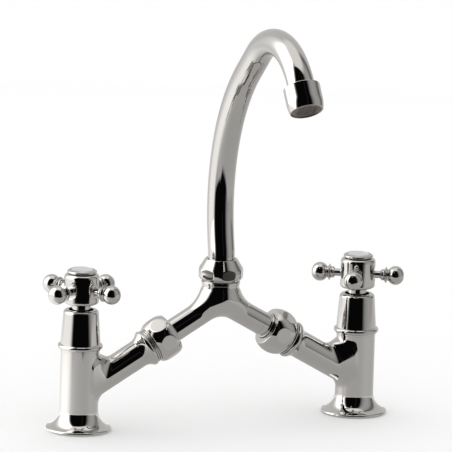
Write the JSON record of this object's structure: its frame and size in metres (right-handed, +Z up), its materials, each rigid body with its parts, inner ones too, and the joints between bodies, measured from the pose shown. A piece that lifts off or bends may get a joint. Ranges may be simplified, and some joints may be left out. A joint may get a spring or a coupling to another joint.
{
  "type": "bridge basin mixer",
  "caption": "Deck-mounted bridge basin mixer with cross handles, a bridge shaped like an inverted V and a swivelling swan-neck spout with an aerator.",
  "frame": {"origin": "on the deck's upper face, midway between the axes of the two pillars", "axes": "+Z up, +X along the bridge towards the right pillar as the user sees it, -Y to the front, where the spout points"},
  "size_m": [0.2566, 0.1766, 0.34],
  "materials": {
    "chrome": "polished",
    "brass": "machined",
    "rubber": "matt",
    "steel": "bright",
    "ceramic": "lapped",
    "white_enamel": "glossy",
    "grey_plastic": "moulded",
    "red_fibre": "pressed fibre"
  },
  "bodies": {
    "bridge": {"bridge_body": "chrome", "spout_nut": "chrome", "spout_glide_ring": "grey_plastic", "left_pillar_body": "chrome", "left_foot_seal": "rubber", "left_inlet_tail": "brass", "left_deck_rubber_washer": "rubber", "left_deck_steel_washer": "steel", "left_back_nut": "brass", "left_union_nut": "chrome", "left_union_washer": "red_fibre", "left_valve_housing": "brass", "left_seat_seal": "rubber", "left_fixed_disc": "ceramic", "left_bell_cover": "chrome", "right_pillar_body": "chrome", "right_foot_seal": "rubber", "right_inlet_tail": "brass", "right_deck_rubber_washer": "rubber", "right_deck_steel_washer": "steel", "right_back_nut": "brass", "right_union_nut": "chrome", "right_union_washer": "red_fibre", "right_valve_housing": "brass", "right_seat_seal": "rubber", "right_fixed_disc": "ceramic", "right_bell_cover": "chrome"},
    "spout": {"spout_tube": "chrome", "spout_foot": "brass", "spout_oring_upper": "rubber", "spout_oring_lower": "rubber", "aerator_housing": "chrome", "aerator_washer": "rubber", "aerator_insert": "grey_plastic", "aerator_mesh": "steel"},
    "left_handle": {"left_spindle": "brass", "left_spindle_oring": "rubber", "left_moving_disc": "ceramic", "left_handle_hub": "chrome", "left_handle_arm_1": "chrome", "left_handle_arm_2": "chrome", "left_handle_arm_3": "chrome", "left_handle_arm_4": "chrome", "left_handle_screw": "steel", "left_index_rim": "chrome", "left_index_disc": "white_enamel"},
    "right_handle": {"right_spindle": "brass", "right_spindle_oring": "rubber", "right_moving_disc": "ceramic", "right_handle_hub": "chrome", "right_handle_arm_1": "chrome", "right_handle_arm_2": "chrome", "right_handle_arm_3": "chrome", "right_handle_arm_4": "chrome", "right_handle_screw": "steel", "right_index_rim": "chrome", "right_index_disc": "white_enamel"}
  },
  "joints": [
    {"name": "spout_swivel", "type": "hinge", "parent": "bridge", "child": "spout", "pos_m": [0, 0, 0.1], "axis": [0, 0, 1], "continuous": true},
    {"name": "left_handle_turn", "type": "hinge", "parent": "bridge", "child": "left_handle", "pos_m": [-0.1, 0, 0.09], "axis": [0, 0, 1], "range_deg": [0, 90]},
    {"name": "right_handle_turn", "type": "hinge", "parent": "bridge", "child": "right_handle", "pos_m": [0.1, 0, 0.09], "axis": [0, 0, 1], "range_deg": [-90, 0]}
  ]
}
